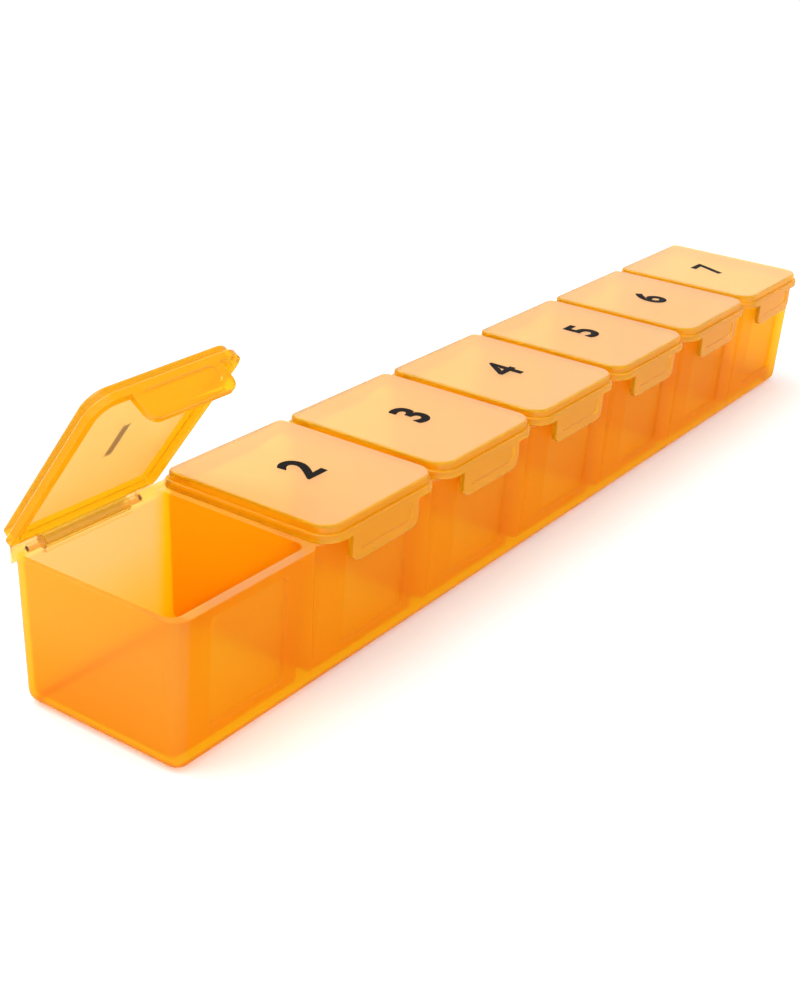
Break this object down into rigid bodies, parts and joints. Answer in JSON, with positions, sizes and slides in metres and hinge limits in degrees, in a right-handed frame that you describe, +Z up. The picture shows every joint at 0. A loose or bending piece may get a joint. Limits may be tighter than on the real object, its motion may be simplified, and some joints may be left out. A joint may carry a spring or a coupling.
{
  "type": "weekly pill organizer",
  "caption": "Long translucent tray divided into equal compartments in a row, each shut by its own hinged snap lid with a front latch tab, for sorting pills by day.",
  "frame": {"origin": "centre of the tray's flat underside, on the surface it stands on", "axes": "+X along the row from the first compartment to the last, +Y to the hinge side, +Z up"},
  "size_m": [0.2376, 0.0398, 0.0586],
  "materials": {
    "tray_plastic": "translucent satin moulded plastic",
    "lid_plastic": "translucent satin moulded plastic",
    "pin_plastic": "smooth moulded plastic"
  },
  "bodies": {
    "tray": {"tray": "tray_plastic", "hinge_pin_1": "pin_plastic", "hinge_pin_2": "pin_plastic", "hinge_pin_3": "pin_plastic", "hinge_pin_4": "pin_plastic", "hinge_pin_5": "pin_plastic", "hinge_pin_6": "pin_plastic", "hinge_pin_7": "pin_plastic"},
    "lid_1": {"lid_1": "lid_plastic"},
    "lid_2": {"lid_2": "lid_plastic"},
    "lid_3": {"lid_3": "lid_plastic"},
    "lid_4": {"lid_4": "lid_plastic"},
    "lid_5": {"lid_5": "lid_plastic"},
    "lid_6": {"lid_6": "lid_plastic"},
    "lid_7": {"lid_7": "lid_plastic"}
  },
  "joints": [
    {"name": "lid_1_hinge", "type": "hinge", "parent": "tray", "child": "lid_1", "pos_m": [-0.102, 0.01785, 0.0265], "axis": [-1, 0, 0], "range_deg": [-55, 125]},
    {"name": "lid_2_hinge", "type": "hinge", "parent": "tray", "child": "lid_2", "pos_m": [-0.068, 0.01785, 0.0265], "axis": [-1, 0, 0], "range_deg": [0, 180]},
    {"name": "lid_3_hinge", "type": "hinge", "parent": "tray", "child": "lid_3", "pos_m": [-0.034, 0.01785, 0.0265], "axis": [-1, 0, 0], "range_deg": [0, 180]},
    {"name": "lid_4_hinge", "type": "hinge", "parent": "tray", "child": "lid_4", "pos_m": [0, 0.01785, 0.0265], "axis": [-1, 0, 0], "range_deg": [0, 180]},
    {"name": "lid_5_hinge", "type": "hinge", "parent": "tray", "child": "lid_5", "pos_m": [0.034, 0.01785, 0.0265], "axis": [-1, 0, 0], "range_deg": [0, 180]},
    {"name": "lid_6_hinge", "type": "hinge", "parent": "tray", "child": "lid_6", "pos_m": [0.068, 0.01785, 0.0265], "axis": [-1, 0, 0], "range_deg": [0, 180]},
    {"name": "lid_7_hinge", "type": "hinge", "parent": "tray", "child": "lid_7", "pos_m": [0.102, 0.01785, 0.0265], "axis": [-1, 0, 0], "range_deg": [0, 180]}
  ]
}
